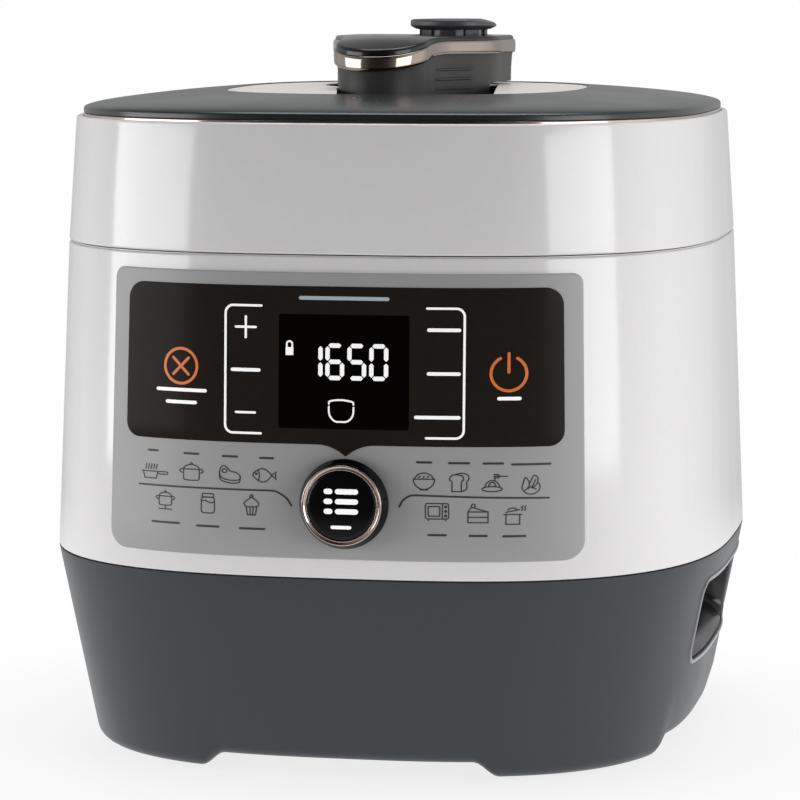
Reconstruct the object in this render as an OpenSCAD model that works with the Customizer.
/* [Body] */
// Width across the widest line, where the base meets the white body
body_w = 310; // [304:1:316]
// Depth of the plan outline as a multiple of its width
depth_ratio = 1.073; // [1.06:0.001:1.08]
// Squareness of the plan outline: 2 is an ellipse, higher is squarer
squareness = 2.92; // [2.8:0.01:3]
// Height of the seam between base and body
base_top = 92; // [90:0.5:94]
// Height of the top edge of the white body
body_top = 231; // [230.5:0.1:231]
// Wall thickness of the outer shells
wall = 3; // [2.5:0.1:3.2]
// How far the base narrows from its top to its foot line
base_taper = 17; // [15:0.5:19]
// Height of the arches between the four corner feet
arch_h = 6.5; // [5:0.5:6.5]

/* [Lid] */
// Height of the lower edge of the white lid ring
lid_bottom = 231.9; // [231.9:0.1:232]
// Height of the upper edge of the white lid ring
lid_top = 288; // [287.5:0.1:288]
// Height of the lid cover at the rim of its opening
cover_top = 298.5; // [298.5:0.1:299]
// Half width of the opening in the lid cover
opening_a = 82; // [80:0.5:83]
// How much higher the opening's rim is at the rear than at the front
rim_rise = 1.2; // [0:0.1:1.5]
// Crown of the metal plate above its rim
plate_crown = 2; // [1:0.1:2.5]
// How far the lid swings open, in degrees
lid_swing = 85; // [60:1:88]

/* [Lid handle] */
// Angle of the handle at rest, seen from above
handle_rest = -5; // [-6:1:-4]
// Turn from unlocked to locked, in degrees
lock_turn = 30; // [28:1:32]
// Radius of the rounded nose of the handle
nose_r = 21.2; // [20.5:0.1:22]
// Distance from the turning axis to the centre of the nose
nose_y = 43; // [42:0.5:44]

/* [Pot] */
// Outer radius of the removable cooking pot
pot_r = 110; // [109:0.5:111]
// Wall thickness of the cooking pot
pot_wall = 2; // [1.5:0.1:2.5]
// Number of locking teeth round the pot flange
teeth = 6; // [6:1:6]
// Width of one tooth or lug, in degrees
tooth_angle = 24; // [20:1:25]

/* [Controls] */
// Sideways place of the dial
dial_x = 4.5; // [2:0.5:5]
// Height of the dial's centre
dial_z = 125.5; // [122:0.5:126]
// Radius of the dial
dial_r = 17.9; // [17:0.1:18]
// Radius of the dial's skirt at the panel
skirt_r = 19.6; // [18:0.1:19.6]
// Travel of the dial when it is pressed
press_travel = 0.8; // [0.5:0.1:0.8]

/* [Hidden] */

// Sides of the lofted shells, and smoothness of the exact round parts
sides = 96;
$fn = 48;
// Half width of the body at its widest line
body_a = body_w / 2;
// Narrowing of the white walls per millimetre of height
body_slope = 0.0402;
lid_slope = 0.0642;
// Foot line of the base shell, above the rubber feet
foot_z = 2;
// Half width of the arches at the crown and at the foot line: front and rear, then sides
arch_front = [56, 67];
arch_side = [70, 83];
// Bottom cover and the ledge it screws to
cover_z = 9.2;
cover_t = 2.3;
ledge_z = 11.7;
ledge_t = 3.3;
// Corner feet and screws under the cover
feet_x = 86;
feet_y = 93;
feet_r = 11;
base_screw_x = 123;
base_screw_y = 45;
// Heights inside the body
casing_floor = 40;
plate_bottom = 50;
plate_top = 58;
flange_z = 222;
flange_r = 127;
tooth_z = 228;
rim_z = 224;
// Inner lid levels
lug_z = 225;
lug_t = 2.4;
lug_r = 123.8;
inner_lid_z = 232.5;
inner_lid_t = 1.5;
// Lid bearing
core_z = 284;
core_t = 3;
bearing_r = 44;
running_gap = 0.06;
hub_top = 290.4;
plate_drop = 0.6;
plate_t = 1;
// Hinge axis at the rear
hinge_y = 168.5;
hinge_z = 233;
knuckle_r = 6.5;
knuckle_x = 28;
ear_t = 8;
pin_r = 2.5;
// Places on the handle, in its own frame
valve_x = 15;
valve_y = 24;
float_x = -21;
float_y = 20;
// Handle levels: band bottom and top, and cap top, at the nose and at the body
band_z = [307.7, 314.8];
band_top = [314.4, 320.9];
cap_top = [317.6, 322.9];
handle_front = -66;
handle_back = 50;
// Underside of the handle where it passes over the plate, and the drum below it
handle_under = 301.2;
drum_r = 38;
// Gap in the plate from the drum to the front rim, where the nose turns
plate_gap = [[-25.6, -41], [-13.5, -100], [56.6, -100], [53, -75], [40, 16], [0, 0]];
// Rear face of the dew cup, which balances the dial at the front
rear_y = 175.5;
dial_face = -175.5;
// Front and back of the dial's barrel, and width of the ring round its face
knob_front = -173.4;
knob_back = -168.2;
dial_ring_w = 2.4;
cup_x = 32;
cup_z = 160;
cup_h = 40;
// Control panel outline
panel_x = 105;
panel_z = [101, 224.3];
panel_t = 1.2;
display_x = 97;
display_z = [150.5, 218.5];
// How far the point of the glass reaches down towards the dial
notch_h = 4.8;
window_x = [-27, 34];
window_z = [156, 208];
board_y = -145;
// Grip recesses in the base
grip_y = 66;
grip_z = [43, 79];
grip_depth_x = 121;
// Inlet
inlet_z = 48;
inlet_w = 24.4;
inlet_h = 16.6;

// Radius of a superellipse at angle t
function radius_at(t, a, b, n) =
    pow(pow(abs(cos(t)) / a, n) + pow(abs(sin(t)) / b, n), -1 / n);
// One closed ring of points at height z, half width a
function ring(a, z, n = squareness, ratio = depth_ratio, k = sides) =
    [for (i = [0:k - 1])
        let (t = 360 * i / k, r = radius_at(t, a, a * ratio, n)) [r * cos(t), r * sin(t), z]];
// Smooth step from 0 to 1
function smooth(t) = let (c = max(0, min(1, t))) c * c * (3 - 2 * c);
// Half widths of the walls at height z
function body_half(z) = body_a - body_slope * (z - base_top);
function lid_half(z) = body_half(lid_bottom) - lid_slope * (z - lid_bottom);
function base_half(z) = body_a - base_taper * (base_top - z) / (base_top - foot_z);
// Lift of the lower edge over the arches
function arch(s, span) = smooth((span[1] - s) / (span[1] - span[0]));
function arch_lift(p) = arch_h * max(arch(abs(p[0]), arch_front), arch(abs(p[1]), arch_side));
// Ring of the base near the foot line: it follows the arches
function foot_ring(inset, dz) =
    [for (p = ring(base_half(foot_z) - inset, foot_z + dz)) p + [0, 0, arch_lift(p)]];
// Front surface of the body at sideways place x and height z
function front_y(x, z) =
    -body_half(z) * depth_ratio * pow(1 - pow(abs(x) / body_half(z), squareness), 1 / squareness);
// Arc of points about c from angle a0 to a1
function arc(c, r, a0, a1, k = 8) =
    [for (i = [0:k]) let (t = a0 + (a1 - a0) * i / k) c + r * [cos(t), sin(t)]];
// Rounded rectangle
function round_box(x0, x1, y0, y1, r) = concat(
    arc([x1 - r, y0 + r], r, -90, 0), arc([x1 - r, y1 - r], r, 0, 90),
    arc([x0 + r, y1 - r], r, 90, 180), arc([x0 + r, y0 + r], r, 180, 270));
// Outline moved outwards by g
function grow(pts, g) = let (k = len(pts))
    [for (i = [0:k - 1])
        let (d = pts[(i + 1) % k] - pts[(i + k - 1) % k], n = [d[1], -d[0]] / norm(d)) pts[i] + g * n];
// Handle outline, counter-clockwise, nose towards -Y
nose_side = concat(
    arc([0, -nose_y], nose_r, -80, 0, 10),
    [[21.5, -37], [22.6, -31], [24.6, -24], [27.4, -17], [30.6, -10.5], [33.6, -4.5]]);
function both_sides(side, g) = grow(concat(
    [[0, -nose_y - nose_r]], side,
    [for (i = [len(side) - 1:-1:0]) [-side[i][0], side[i][1]]]), g);
function handle_outline(g = 0) = both_sides(concat(nose_side,
    [[36.2, 2], [38.1, 8], [39, 15]], arc([31, handle_back - 8], 8, 0, 90, 5)), g);
// Outline of the part that reaches down through the plate: nose and drum
function lower_outline(g = 0) = both_sides(concat(nose_side, arc([0, 0], drum_r, 12, 84, 8)), g - 0.5);
// Height along the handle, blended from the nose to the body
function along(levels, y) = levels[0] + (levels[1] - levels[0])
    * smooth(pow(max(0, y - handle_front) / 42, 0.7));
// Rise of the opening's rim from front to rear
function rim_lift(y) = rim_rise * (0.5 + 0.5 * y / (opening_a * depth_ratio));

// Skin through rings of points; rings run up the outside and down the inside
module loft(rows, closed = true) {
    n = len(rows[0]);
    m = len(rows);
    last = closed ? m - 1 : m - 2;
    skin = [for (j = [0:last], i = [0:n - 1])
        let (k = (j + 1) % m, i2 = (i + 1) % n)
        each [[j * n + i, k * n + i, k * n + i2], [j * n + i, k * n + i2, j * n + i2]]];
    ends = closed ? [] : [[for (i = [0:n - 1]) i], [for (i = [n - 1:-1:0]) (m - 1) * n + i]];
    polyhedron(points = [for (r = rows) each r], faces = concat(skin, ends));
}

// Flat plate with the plan outline of the body
module plan_plate(a, z, t) {
    translate([0, 0, z])
        linear_extrude(t)
            polygon([for (p = ring(a, 0)) [p[0], p[1]]]);
}

module tube(r_out, r_in, z, h) {
    translate([0, 0, z])
        difference() {
            cylinder(r = r_out, h = h, $fn = 96);
            translate([0, 0, -1]) cylinder(r = r_in, h = h + 2, $fn = 96);
        }
}

// Cylinder along +Y that starts at p
module rod_y(p, r, l) {
    translate(p) rotate([-90, 0, 0]) cylinder(r = r, h = l);
}

// Cylinder along +X, centred on x = 0
module rod_x(y, z, r, l) {
    translate([-l / 2, y, z]) rotate([0, 90, 0]) cylinder(r = r, h = l);
}

// Outline in X and Z, extruded along Y from y0 to y1
module front_prism(pts, y0, y1) {
    translate([0, y1, 0]) rotate([90, 0, 0]) linear_extrude(y1 - y0) polygon(pts);
}

// Outline in Y and Z, extruded along X from x0 to x1
module side_prism(pts, x0, x1) {
    translate([x0, 0, 0]) rotate([90, 0, 90]) linear_extrude(x1 - x0) polygon(pts);
}

// Slab that follows the front of the body, from d0 to d1 outside it
module front_slab(x0, x1, z, d0, d1, k = 24) {
    loft([for (i = [0:k]) let (x = x0 + (x1 - x0) * i / k)
        [[x, front_y(x, z[0]) - d0, z[0]], [x, front_y(x, z[1]) - d0, z[1]],
         [x, front_y(x, z[1]) - d1, z[1]], [x, front_y(x, z[0]) - d1, z[0]]]], false);
}

// Sector of a disc between two angles
module sector(r, a0, a1, k = 24) {
    polygon(concat([[0, 0]], arc([0, 0], r, a0, a1, k)));
}

// Lugs or teeth round the pot axis, centred on the angle start
module toothed_ring(r_in, r_out, z, t, start, width) {
    for (i = [0:teeth - 1])
        rotate([0, 0, start + 360 * i / teeth - width / 2])
            rotate_extrude(angle = width, $fn = 96)
                translate([r_in, z]) square([r_out - r_in, t]);
}

// Copies at the four corners of a rectangle
module corners(x, y) {
    for (i = [-1, 1], j = [-1, 1]) translate([i * x, j * y, 0]) children();
}

// Grey base: a tapered tub wall on four corner feet, with a ledge inside
module base_shell() color("#565b5f") {
    difference() {
        loft([
            foot_ring(5, 0), foot_ring(1.6, 1.2), foot_ring(0, 5.5),
            ring(base_half(32), 32), ring(base_half(70), 70), ring(body_a, base_top),
            ring(body_a - wall, base_top), ring(base_half(70) - wall, 70),
            ring(base_half(32) - wall, 32), ring(base_half(15) - wall, ledge_z + ledge_t),
            ring(base_half(15) - 18, ledge_z + ledge_t), ring(base_half(15) - 18, ledge_z),
            ring(base_half(foot_z) - 8.3, ledge_z), foot_ring(8.3, 0)]);
        corners(base_screw_x, base_screw_y) cylinder(r = 1.5, h = 30);
        for (s = [-1, 1]) mirror([s < 0 ? 1 : 0, 0, 0])
            side_prism(round_box(-grip_y, grip_y, grip_z[0], grip_z[1], 7), 130, 170);
        front_prism(round_box(-19, 19, inlet_z - 14, inlet_z + 14, 3), 140, 175);
    }
}

// Bottom cover with four foot blocks and cooling slots
module bottom_cover() color("#2c2e30") {
    difference() {
        union() {
            plan_plate(base_half(foot_z) - 8.5, cover_z, cover_t);
            corners(feet_x, feet_y) translate([0, 0, foot_z]) cylinder(r = 15, h = cover_z - foot_z + 1);
        }
        corners(feet_x, feet_y) cylinder(r = 4, h = 5.5);
        corners(base_screw_x, base_screw_y) cylinder(r = 1.8, h = 20);
        for (i = [-4:4], j = [-1, 1])
            translate([i * 12 - 2, j * 50 - 20, cover_z - 1]) cube([4, 40, cover_t + 2]);
    }
}

module rubber_feet() color("#1c1c1c") {
    corners(feet_x, feet_y) {
        cylinder(r = feet_r, h = foot_z);
        cylinder(r = 3.95, h = 5);
    }
}

module bottom_screws() color("#b9bcc0") {
    corners(base_screw_x, base_screw_y) {
        translate([0, 0, cover_z - 1.8]) cylinder(r = 3, h = 1.8);
        translate([0, 0, cover_z - 1]) cylinder(r = 1.45, h = 6.4);
    }
}

// White body wall with windows for the display and the dial
module body_shell() color("#ececec") {
    difference() {
        loft([
            ring(body_half(base_top + 0.4), base_top + 0.4), ring(body_half(body_top), body_top),
            ring(body_half(body_top) - wall, body_top),
            ring(body_half(base_top) - wall, base_top + 0.4)]);
        front_prism([[window_x[0], window_z[0]], [window_x[1], window_z[0]],
            [window_x[1], window_z[1]], [window_x[0], window_z[1]]], -180, -140);
        rod_y([dial_x, -180, dial_z], 9, 40);
    }
}

// Dark deck round the mouth, with a drain to the rear
module upper_collar() color("#34373a") {
    difference() {
        plan_plate(body_half(body_top) - wall - 0.3, 227, 3.6);
        translate([0, 0, 220]) cylinder(r = flange_r + 0.3, h = 20, $fn = 96);
        translate([0, 145, 220]) cylinder(r = 4, h = 20);
    }
}

// Pressed casing round the pot: floor, wall, ledge and locking teeth
module outer_pot() color("#a9abad") {
    difference() {
        rotate_extrude($fn = 96) polygon([[30, casing_floor], [115, casing_floor],
            [115, flange_z - 1.5], [flange_r, flange_z - 1.5], [flange_r, tooth_z + 2],
            [flange_r - 1.5, tooth_z + 2], [flange_r - 1.5, flange_z], [113.5, flange_z],
            [113.5, casing_floor + 2], [30, casing_floor + 2]]);
        for (s = [-1, 1]) translate([s * 12, -65, casing_floor - 1]) cylinder(r = 6, h = 4);
    }
    toothed_ring(118.7, flange_r - 0.5, tooth_z, 1.8, handle_rest, tooth_angle);
}

module support_posts() color("#8b8e91") {
    for (i = [0:3]) rotate([0, 0, 45 + 90 * i])
        translate([100, 0, cover_z + cover_t]) cylinder(r = 5, h = casing_floor - cover_z - cover_t);
}

// Cast plate that the pot stands on, with a hole for the sensor
module heating_plate() color("#b4b6b8") {
    difference() {
        translate([0, 0, plate_bottom]) cylinder(r = 88, h = plate_top - plate_bottom, $fn = 96);
        translate([0, 0, plate_bottom - 1]) cylinder(r = 14, h = 12);
        tube(67, 63, plate_bottom - 1, 1.4);
    }
}

// Tubular element under the plate, open at the front, with two terminals
module heating_element() color("#6f6a64") {
    rotate([0, 0, -90 + 11])
        rotate_extrude(angle = 338, $fn = 96) translate([65, 46.2]) circle(r = 3.6, $fn = 24);
    for (s = [-1, 1]) translate([s * 12, -63.9, 30]) cylinder(r = 3, h = 16.2);
}

module plate_posts() color("#9a9da0") {
    for (i = [0:2]) rotate([0, 0, 30 + 120 * i])
        translate([80, 0, casing_floor + 2]) cylinder(r = 4, h = plate_bottom - casing_floor - 2);
}

// Removable cooking pot with a rolled rim
module inner_pot() color("#c9cbcc") {
    bottom = plate_top + 0.2;
    corner = 14;
    outer = concat([[0, bottom]], arc([pot_r - corner, bottom + corner], corner, -90, 0, 6));
    inner = concat([[0, bottom + pot_wall]],
        arc([pot_r - corner, bottom + corner], corner - pot_wall, -90, 0, 6));
    rotate_extrude($fn = 96) polygon(concat(outer,
        [[pot_r, flange_z + 0.2], [118, flange_z + 0.2], [118, rim_z], [pot_r - pot_wall, rim_z]],
        [for (i = [len(inner) - 1:-1:0]) inner[i]]));
}

module sensor_bracket() color("#9a9da0") {
    difference() {
        translate([-34, -8, casing_floor + 2]) cube([68, 16, 1.2]);
        translate([0, 0, casing_floor]) cylinder(r = 3, h = 6);
    }
}

// Helical spring under the sensor
module sensor_spring() color("#b9bcc0") {
    turns = 4;
    steps = 16;
    wire = 0.5;
    low = casing_floor + 4;
    high = 52.4;
    loft([for (i = [0:turns * steps])
        let (t = 360 * i / steps, z = low + (high - low) * i / (turns * steps))
        [for (k = [0:5]) let (q = 60 * k, r = 8 + wire * cos(q))
            [r * cos(t), r * sin(t), z - wire * sin(q)]]], false);
}

// Sprung temperature sensor that the pot presses on
module thermostat_sensor() color("#c2c4c6") {
    translate([0, 0, 53]) cylinder(r = 13, h = 5.1);
    translate([0, 0, casing_floor - 2]) cylinder(r = 2.5, h = 16);
}

module thermal_fuse() color("#d8c9a4") {
    translate([30, -30, casing_floor - 7]) cube([22, 9, 6.8]);
}

module power_board() color("#2f6b46") {
    difference() {
        translate([-60, -45, 20]) cube([120, 70, 1.6]);
        for (i = [-1, 1], j = [-1, 1]) translate([i * 54, j * 29 - 10, 19]) cylinder(r = 1.8, h = 4);
    }
}

// Parts on the board: transformer, relay, capacitors, heat sink and four stand-offs
module power_board_parts() color("#4a4d52") {
    translate([-50, -35, 21.6]) cube([32, 28, 15]);
    translate([-10, -35, 21.6]) cube([20, 16, 14]);
    translate([22, -32, 21.6]) cylinder(r = 7, h = 15);
    translate([40, -32, 21.6]) cylinder(r = 6, h = 10);
    translate([-10, 0, 21.6]) cube([44, 4, 14]);
    for (k = [0:4]) translate([-6 + k * 9, 4, 21.6]) cube([1.6, 8, 14]);
    for (i = [-1, 1], j = [-1, 1])
        translate([i * 54, j * 29 - 10, cover_z + cover_t]) cylinder(r = 3, h = 20 - cover_z - cover_t);
}

// Mains inlet in the rear of the base
module inlet_socket() color("#202224") {
    difference() {
        union() {
            front_prism(round_box(-18.8, 18.8, inlet_z - 13.8, inlet_z + 13.8, 3), 132, 154);
            front_prism(round_box(-23, 23, inlet_z - 17, inlet_z + 17, 3), 132, 145);
        }
        front_prism(round_box(-inlet_w / 2, inlet_w / 2, inlet_z - inlet_h / 2, inlet_z + inlet_h / 2, 2),
            136, 160);
        for (i = [-1:1]) translate([i * 7 - 1.1, 130, inlet_z - 2.6 + (i == 0 ? 3 : 0)]) cube([2.2, 8, 5.2]);
    }
}

module inlet_pins() color("#c8cacc") {
    for (i = [-1:1]) translate([i * 7 - 1, 126, inlet_z - 2.5 + (i == 0 ? 3 : 0)]) cube([2, 21, 5]);
}

module control_board() color("#2f6b46") {
    translate([-80, board_y, 108]) cube([160, 1.6, 106]);
}

// Framed numeric display behind the glass
module display_module() color("#1d1f20") {
    difference() {
        translate([window_x[0] + 1, -157.5, window_z[0] + 1])
            cube([window_x[1] - window_x[0] - 2, board_y + 157.3, window_z[1] - window_z[0] - 2]);
        translate([window_x[0] + 4, -159, window_z[0] + 4])
            cube([window_x[1] - window_x[0] - 8, 3, window_z[1] - window_z[0] - 8]);
    }
}

// Sprung pads that carry each touch key to the board
module touch_springs() color("#b9bcc0") {
    for (p = [[-70, 182], [74, 182], [-40, 201], [-40, 163], [46, 201], [46, 182], [46, 163]])
        rod_y([p[0], board_y - 5, p[1]], 3.5, 4.9);
}

// Flat cable from the power board up to the control board
module ribbon_cable() color("#c9c6bf") {
    side_prism([[-45.2, 20.4], [-131, 20.4], [-140.6, 49.8], [-140.6, 112], [-143.3, 112],
        [-143.3, 112.8], [-139.8, 112.8], [-139.8, 50], [-130.4, 21.2], [-45.2, 21.2]], -12, 12);
}

// Grey control panel that wraps the front
module control_panel() color("#8c8c8c") {
    difference() {
        intersection() {
            front_slab(-panel_x, panel_x, panel_z, 0.2, panel_t + 0.2, 30);
            front_prism(round_box(-panel_x, panel_x, panel_z[0], panel_z[1], 6), -200, -100);
        }
        front_prism([[window_x[0], window_z[0]], [window_x[1], window_z[0]],
            [window_x[1], window_z[1]], [window_x[0], window_z[1]]], -180, -140);
        rod_y([dial_x, -180, dial_z], 6, 40);
    }
}

// Black glass over the display, with a small point towards the dial
module display_glass() color("#211e1c") {
    intersection() {
        front_slab(-display_x, display_x, [display_z[0] - notch_h - 1, display_z[1]], panel_t + 0.26,
            panel_t + 0.6, 30);
        front_prism(concat(
            round_box(-display_x, display_x, display_z[0], display_z[1], 7),
            [[dial_x - 12, display_z[0]], [dial_x, display_z[0] - notch_h], [dial_x + 12, display_z[0]]]),
            -200, -100);
    }
}

// Rotary encoder: fixed body, plunger that slides, and shaft that turns in it
module encoder_body() color("#b9bcc0") {
    difference() {
        translate([dial_x - 7, -156, dial_z - 7]) cube([14, board_y + 155.9, 14]);
        rod_y([dial_x, -160, dial_z], 4.5, 20);
    }
}

module encoder_plunger() color("#d5cfa8") {
    difference() {
        rod_y([dial_x, -155, dial_z], 4.45, 8);
        rod_y([dial_x, -160, dial_z], 3, 20);
    }
}

module encoder_shaft() color("#9ea1a4") {
    rod_y([dial_x, -171, dial_z], 2.95, 24);
}

// Barrel of the dial, flared towards the panel
module dial_knob() color("#1a1a1a") {
    difference() {
        translate([dial_x, knob_back, dial_z]) rotate([90, 0, 0])
            cylinder(r1 = skirt_r, r2 = dial_r, h = knob_back - knob_front);
        rod_y([dial_x, -171, dial_z], 2.96, 10);
        translate([dial_x, knob_back, dial_z]) rotate([90, 0, 0]) tube(14, 6, -1, 3.2);
    }
}

module dial_ring() color("#8a7468") {
    difference() {
        rod_y([dial_x, -175, dial_z], dial_r - 0.3, 1.6);
        rod_y([dial_x, -176, dial_z], dial_r - 0.3 - dial_ring_w, 4);
    }
}

// Domed black face of the dial
module dial_cap() color("#0c0c0c") {
    face_r = dial_r - 0.4 - dial_ring_w;
    dome = 150;
    crown = [0, knob_front - dial_face - dome];
    translate([dial_x, knob_front, dial_z]) rotate([90, 0, 0])
        rotate_extrude($fn = 64)
            polygon(concat([[0, 0], [face_r, 0]], arc(crown, dome, acos(face_r / dome), 90, 6)));
}

// Open cup that lines a grip recess, trimmed to the inside of the base
module grip_cup() color("#26292b") {
    intersection() {
        difference() {
            translate([grip_depth_x - 2, -grip_y - 2, grip_z[0] - 2])
                cube([40, 2 * grip_y + 4, grip_z[1] - grip_z[0] + 4]);
            translate([grip_depth_x, -grip_y, grip_z[0]])
                cube([40, 2 * grip_y, grip_z[1] - grip_z[0]]);
        }
        loft([ring(base_half(32) - wall - 0.2, 32), ring(base_half(70) - wall - 0.2, 70),
            ring(body_a - wall - 0.2, base_top)], false);
    }
}
module grip_cup_left() {
    mirror([1, 0, 0]) grip_cup();
}
module grip_cup_right() {
    grip_cup();
}

// Fixed half of the hinge, with the rails of the dew cup below it
module hinge_bracket() color("#2b2d2f") {
    difference() {
        for (s = [-1, 1]) translate([s * (knuckle_x + 0.5 + ear_t / 2), 0, 0]) {
            side_prism([[161, 212], [166, 212], [175, hinge_z], [162, hinge_z], [162, 227.5], [161, 227.5]],
                -ear_t / 2, ear_t / 2);
            rod_x(hinge_y, hinge_z, knuckle_r, ear_t);
        }
        rod_x(hinge_y, hinge_z, pin_r, 120);
    }
    translate([-knuckle_x - 1, 161.4, 212]) cube([2 * knuckle_x + 2, 2, 12]);
    for (s = [-1, 1]) translate([s * (cup_x + 2.3) - 1.2, 163, cup_z]) cube([2.4, 8, cup_h + 14]);
}

module hinge_pin() color("#c2c4c6") {
    rod_x(hinge_y, hinge_z, pin_r - 0.04, 2 * (knuckle_x + ear_t) + 1);
}

// Clear cup that catches condensed water at the rear
module dew_cup() color("#d9dcdd") {
    difference() {
        translate([-cup_x, 164, cup_z]) cube([2 * cup_x, rear_y - 164, cup_h]);
        translate([-cup_x + 1.5, 165.5, cup_z + 1.5]) cube([2 * cup_x - 3, rear_y - 167, cup_h]);
    }
    translate([-12, rear_y - 5, cup_z - 4]) cube([24, 5, 4]);
}

// White outer ring of the lid
module lid_ring() color("#ececec") {
    loft([
        ring(lid_half(lid_bottom), lid_bottom), ring(lid_half(lid_top - 1), lid_top - 1),
        ring(lid_half(lid_top) - 0.8, lid_top), ring(lid_half(lid_top) - 2.4, lid_top),
        ring(lid_half(lid_top) - 2.6, lid_top - 4), ring(lid_half(lid_bottom) - 2.6, lid_bottom)]);
}

module lid_trim_ring() color("#5d544e") {
    edge = lid_half(lid_top) - 2.6;
    loft([
        ring(edge - 0.3, lid_top - 3), ring(edge - 0.3, lid_top + 0.8),
        ring(edge - 2.2, lid_top + 0.8), ring(edge - 2.2, lid_top - 3)]);
}

// Ring of the cover at a share of the way in from its edge, lifted by a share of the rim's rise
function lifted(share, lift, g, z) = let (edge = lid_half(lid_top) - 3.2)
    [for (p = ring(edge + (opening_a - edge) * share + g, z, squareness - 0.22 * share))
        p + [0, 0, lift * rim_lift(p[1])]];
// Black domed cover with the opening for the metal plate
module lid_cover() color("#32373a") {
    rise = cover_top - lid_top;
    // Share of the way in from the edge, and height above the lid ring
    dome = [[0, 1.1], [0, 3.6], [0.02, 4.6], [0.1, 5.9], [0.35, 7.8], [0.7, 9.6], [1, rise]];
    outer = [for (s = dome) lifted(s[0], s[0], 0, lid_top + s[1])];
    inner = [for (i = [len(dome) - 1:-1:0]) let (s = dome[i])
        lifted(s[0], s[0], s[0] == 1 ? 0 : -2, lid_top + s[1] - (i == 0 ? 0 : 1.9))];
    loft(concat(outer, inner));
}

// Shape cleared in the plate for the handle's lower part, from unlocked to locked
module handle_sweep(g) {
    circle(r = drum_r + g, $fn = 96);
    for (t = [0:lock_turn / 2:lock_turn]) rotate(handle_rest + t) polygon(lower_outline(g));
    slack = 0.2;
    rotate(handle_rest) sector(nose_y + nose_r + g + slack, -88, -92 + lock_turn);
    polygon(plate_gap);
}

// Ring of the metal plate at a share of its size, a depth below its crowned top
function plate_ring(s, depth) = [for (p = ring((opening_a - 0.3) * s, 0, squareness - 0.22))
    p + [0, 0, cover_top - plate_drop + rim_lift(p[1]) + plate_crown * (1 - s * s) - depth]];
// Crowned metal plate inside the opening, cut out for the handle to turn
module lid_plate() color("#e2d3cb") {
    shares = [1, 0.8, 0.6, 0.4];
    difference() {
        loft(concat([for (s = shares) plate_ring(s, 0)],
            [for (i = [len(shares) - 1:-1:0]) plate_ring(shares[i], plate_t)]));
        translate([0, 0, cover_top - 8]) linear_extrude(20) handle_sweep(0.8);
    }
}

// Inner moulding of the lid: floor of the handle well, drum and bottom flange
module lid_liner() color("#2b2d2f") {
    difference() {
        union() {
            plan_plate(lid_half(lid_top) - 7.5, core_z, core_t);
            tube(127, 125, 233, core_z - 232.5);
            plan_plate(lid_half(lid_bottom + 3) - 2.9, 232.2, 2.3);
        }
        translate([0, 0, 230]) cylinder(r = 125, h = core_z - 230, $fn = 96);
        translate([0, 0, 200]) cylinder(r = 47.2, h = 100, $fn = 96);
    }
}

// Bearing of the lock hub in the lid
module lid_bushing() color("#d8d4c8") {
    tube(47, bearing_r, core_z - 2, 6);
    tube(50, bearing_r, core_z + core_t + 0.1, 0.9);
}

// Moving half of the hinge, on the rear of the lid
module lid_hinge_arm() color("#2b2d2f") {
    difference() {
        union() {
            side_prism([[160.8, 262], [163, 262], [175, hinge_z + 3], [175, hinge_z], [162, hinge_z],
                [160.8, hinge_z + 5]], -knuckle_x, knuckle_x);
            rod_x(hinge_y, hinge_z, knuckle_r, 2 * knuckle_x);
        }
        rod_x(hinge_y, hinge_z, pin_r, 4 * knuckle_x);
    }
}

// Vertical bores for the vent pipe and the float, in the handle's frame
module handle_frame() {
    rotate([0, 0, handle_rest]) children();
}
module bores(r_vent, r_float, z, h) {
    translate([valve_x, valve_y, z]) cylinder(r = r_vent, h = h);
    translate([float_x, float_y, z]) cylinder(r = r_float, h = h);
}
module hub_screw_places() {
    for (i = [0:2]) rotate([0, 0, 100 + 120 * i]) translate([37, 0, 0]) children();
}

// Drum that turns in the lid and joins handle and inner lid
module lock_hub() color("#8f9295") {
    handle_frame() difference() {
        union() {
            translate([0, 0, inner_lid_z + inner_lid_t])
                cylinder(r = bearing_r - running_gap, h = hub_top - inner_lid_z - inner_lid_t, $fn = 96);
            translate([0, 0, 288.3]) cylinder(r = 47, h = hub_top - 288.3, $fn = 96);
        }
        translate([0, 0, inner_lid_z + inner_lid_t + 3])
            cylinder(r = 40.5, h = hub_top - inner_lid_z - inner_lid_t - 6, $fn = 96);
        tube(60, 42.4, core_z - 4.6, 2.3);
        bores(6.3, 3.4, 200, 120);
        hub_screw_places() translate([0, 0, 230]) cylinder(r = 1.6, h = 8);
        for (i = [0:1]) translate([i * 16 - 8, -20, 285]) cylinder(r = 1.6, h = 10);
    }
}

module hub_clip() color("#b9bcc0") {
    handle_frame() difference() {
        tube(48, 42.5, core_z - 4.5, 2);
        translate([-3, -60, core_z - 6]) cube([6, 60, 5]);
    }
}

module hub_screws() color("#b9bcc0") {
    handle_frame() hub_screw_places() {
        translate([0, 0, inner_lid_z - 2]) cylinder(r = 2.8, h = 2);
        translate([0, 0, inner_lid_z - 1]) cylinder(r = 1.55, h = 5.4);
    }
}

// Pressed steel inner lid with locking lugs
module inner_lid() color("#c4c6c8") {
    handle_frame() {
        difference() {
            rotate_extrude($fn = 96) polygon([[0, inner_lid_z], [114, inner_lid_z], [114, lug_z],
                [117.5, lug_z], [117.5, lug_z + lug_t], [115.5, lug_z + lug_t],
                [115.5, inner_lid_z + inner_lid_t], [0, inner_lid_z + inner_lid_t]]);
            bores(6.1, 3.4, 200, 120);
            hub_screw_places() translate([0, 0, 230]) cylinder(r = 1.6, h = 8);
        }
        toothed_ring(117.4, lug_r, lug_z, lug_t, 30, tooth_angle);
    }
}

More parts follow.
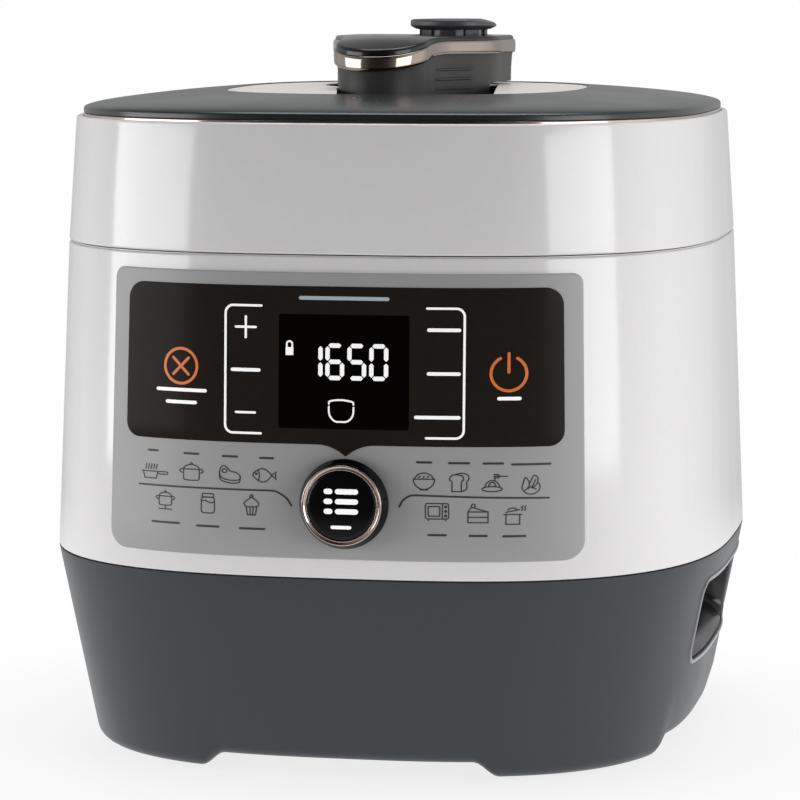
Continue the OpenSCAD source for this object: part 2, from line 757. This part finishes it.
module sealing_ring() color("#dcdad4") {
    rotate_extrude($fn = 96) polygon([[104, 227.5], [106.5, 224.4], [113.7, 224.4], [113.7, 232.2],
        [104, 232.2], [104, 230.4], [110.5, 230.4], [110.5, 227.5]]);
}

// Vent pipe from the inner lid up into the valve
module vent_pipe() color("#c4c6c8") {
    handle_frame() translate([valve_x, valve_y, 0]) {
        tube(6, 2, 224, 94);
        tube(8, 6, inner_lid_z - 2, 1.9);
    }
}

// Perforated cup that keeps food out of the vent pipe
module steam_shield() color("#b4b6b8") {
    handle_frame() translate([valve_x, valve_y, 0]) difference() {
        tube(11, 9.8, 222, 10.4);
        for (i = [0:5]) rotate([0, 0, 60 * i]) translate([0, -1.5, 224]) cube([20, 3, 5]);
    }
    handle_frame() translate([valve_x, valve_y, 221]) cylinder(r = 11, h = 1);
}

// Side profile of the handle between two height lines, from the foot or a line to a line
module handle_profile(low, high) {
    k = 16;
    ys = [for (i = [0:k]) handle_front - 4 + (handle_back + 8 - handle_front) * i / k];
    side_prism(concat([for (y = ys) [y, along(low, y)]],
        [for (i = [k:-1:0]) [ys[i], along(high, ys[i])]]), -60, 60);
}

// Dark lower body of the handle, a hollow shell with two posts and three ribs on each flank
module handle_base() color("#3b3f42") {
    foot = hub_top + 0.1;
    skin_t = 2.6;
    handle_frame() difference() {
        union() {
            difference() {
                union() {
                    translate([0, 0, foot]) linear_extrude(handle_under + 1 - foot) polygon(lower_outline());
                    intersection() {
                        translate([0, 0, handle_under]) linear_extrude(30) polygon(handle_outline());
                        handle_profile([foot - 1, foot - 1], band_z);
                    }
                }
                translate([0, 0, foot + 3]) linear_extrude(20) polygon(lower_outline(-skin_t));
                translate([0, 0, handle_under + skin_t]) linear_extrude(30) polygon(handle_outline(-skin_t));
            }
            translate([valve_x, valve_y, foot + 2]) cylinder(r = 9, h = 12);
            translate([valve_x, valve_y, handle_under]) cylinder(r = 18.5, h = 18.3);
            translate([float_x, float_y, foot + 2]) cylinder(r = 6, h = 27);
            intersection() {
                for (z = [303.4, 307.4]) translate([0, 0, z]) linear_extrude(1.2) difference() {
                    polygon(handle_outline(0.7));
                    polygon(handle_outline(-1));
                }
                translate([-50, -33, 300]) cube([100, 29, 10]);
            }
        }
        bores(6.3, 3.4, 280, 60);
        translate([valve_x, valve_y, foot + 12]) cylinder(r = 16.8, h = 40);
        for (i = [0:1]) translate([i * 16 - 8, -20, 285]) cylinder(r = 1.6, h = 10);
    }
}

// Bright band round the handle
module handle_band() color("#9b8f88") {
    handle_frame() intersection() {
        translate([0, 0, 300]) linear_extrude(30) difference() {
            polygon(handle_outline(1.2));
            polygon(handle_outline(-1.6));
        }
        handle_profile(band_z, band_top);
    }
}

// Gloss black top of the handle
module handle_cap() color("#1b1d1e") {
    inside = [for (z = band_z) z + 0.2];
    handle_frame() difference() {
        union() {
            intersection() {
                translate([0, 0, 300]) linear_extrude(30) polygon(handle_outline(0.2));
                handle_profile(band_top, cap_top);
            }
            intersection() {
                translate([0, 0, 300]) linear_extrude(30) difference() {
                    polygon(handle_outline(-1.8));
                    polygon(handle_outline(-3.6));
                }
                handle_profile(inside, band_top + [0.1, 0.1]);
            }
        }
        translate([valve_x, valve_y, 300]) cylinder(r = 18.8, h = 60);
        translate([float_x, float_y, 300]) cylinder(r = 3.4, h = 60);
    }
}

module handle_screws() color("#b9bcc0") {
    handle_frame() for (i = [0:1]) translate([i * 16 - 8, -20, 0]) {
        translate([0, 0, hub_top + 3.1]) cylinder(r = 3, h = 2);
        translate([0, 0, 288.2]) cylinder(r = 1.55, h = 6);
    }
}

// Weight that closes the vent pipe and lifts off it
module valve_weight() color("#a5a8aa") {
    handle_frame() translate([valve_x, valve_y, 0]) difference() {
        union() {
            translate([0, 0, 306]) cylinder(r = 13, h = 15);
            translate([0, 0, 321]) cylinder(r = 4, h = 6);
        }
        translate([0, 0, 300]) cylinder(r = 6.06, h = 18.3);
    }
}

// Turning cap of the steam valve, with vent slots round its neck
module valve_cap() color("#2b2d2f") {
    handle_frame() translate([valve_x, valve_y, 0]) difference() {
        union() {
            translate([0, 0, 326]) cylinder(r1 = 17.5, r2 = 20.3, h = 1.4, $fn = 64);
            translate([0, 0, 327.4]) cylinder(r = 20.3, h = 2, $fn = 64);
            translate([0, 0, 329.4]) cylinder(r1 = 20.3, r2 = 19.2, h = 1, $fn = 64);
            tube(16, 13.4, 314, 12.5);
        }
        translate([0, 0, 320]) cylinder(r = 4.05, h = 7.2);
        for (i = [0:7]) rotate([0, 0, 45 * i + 27.5]) translate([10, -2.5, 323]) cube([10, 5, 3]);
    }
}

// Float pin that rises under pressure and holds the lid locked
module float_pin() color("#b23a2e") {
    handle_frame() translate([float_x, float_y, 0]) {
        translate([0, 0, 228]) cylinder(r = 3.3, h = 95.6);
        translate([0, 0, 225]) cylinder(r = 5, h = 3);
    }
}

module float_gasket() color("#dcdad4") {
    handle_frame() translate([float_x, float_y, 0]) tube(5, 3.3, 228, 1);
}

base_shell();
bottom_cover();
rubber_feet();
bottom_screws();
body_shell();
upper_collar();
outer_pot();
support_posts();
heating_plate();
heating_element();
plate_posts();
inner_pot();
sensor_bracket();
sensor_spring();
thermostat_sensor();
thermal_fuse();
power_board();
power_board_parts();
inlet_socket();
inlet_pins();
control_board();
display_module();
touch_springs();
ribbon_cable();
control_panel();
display_glass();
encoder_body();
encoder_plunger();
encoder_shaft();
dial_knob();
dial_ring();
dial_cap();
grip_cup_left();
grip_cup_right();
hinge_bracket();
hinge_pin();
dew_cup();
lid_ring();
lid_trim_ring();
lid_cover();
lid_plate();
lid_liner();
lid_bushing();
lid_hinge_arm();
lock_hub();
hub_clip();
hub_screws();
inner_lid();
sealing_ring();
vent_pipe();
steam_shield();
handle_base();
handle_band();
handle_cap();
handle_screws();
valve_weight();
valve_cap();
float_pin();
float_gasket();
